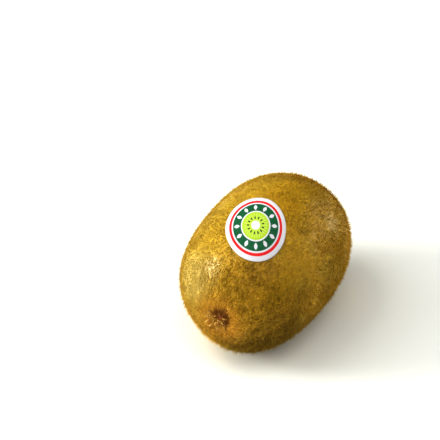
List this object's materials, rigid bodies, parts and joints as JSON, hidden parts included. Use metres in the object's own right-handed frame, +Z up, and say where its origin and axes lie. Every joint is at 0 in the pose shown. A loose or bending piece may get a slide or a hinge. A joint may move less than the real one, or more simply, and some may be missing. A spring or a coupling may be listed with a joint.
{
  "type": "whole kiwi fruit with label",
  "caption": "Whole brown fuzzy kiwi fruit lying on its side, with an oval paper label on its upper side.",
  "frame": {"origin": "centre of the base of the whole fruit's box, on the surface it rests on", "axes": "+Z up; the fruit's length lies along Y, with the blossom end towards -Y and the stem end towards +Y"},
  "size_m": [0.0494, 0.0699, 0.0487],
  "materials": {
    "skin": "dry brown skin under short golden hairs",
    "label_paper": "thin satin label printed in green, light green and red on white"
  },
  "bodies": {
    "root": {"fruit": "skin", "label": "label_paper"}
  },
  "joints": []
}
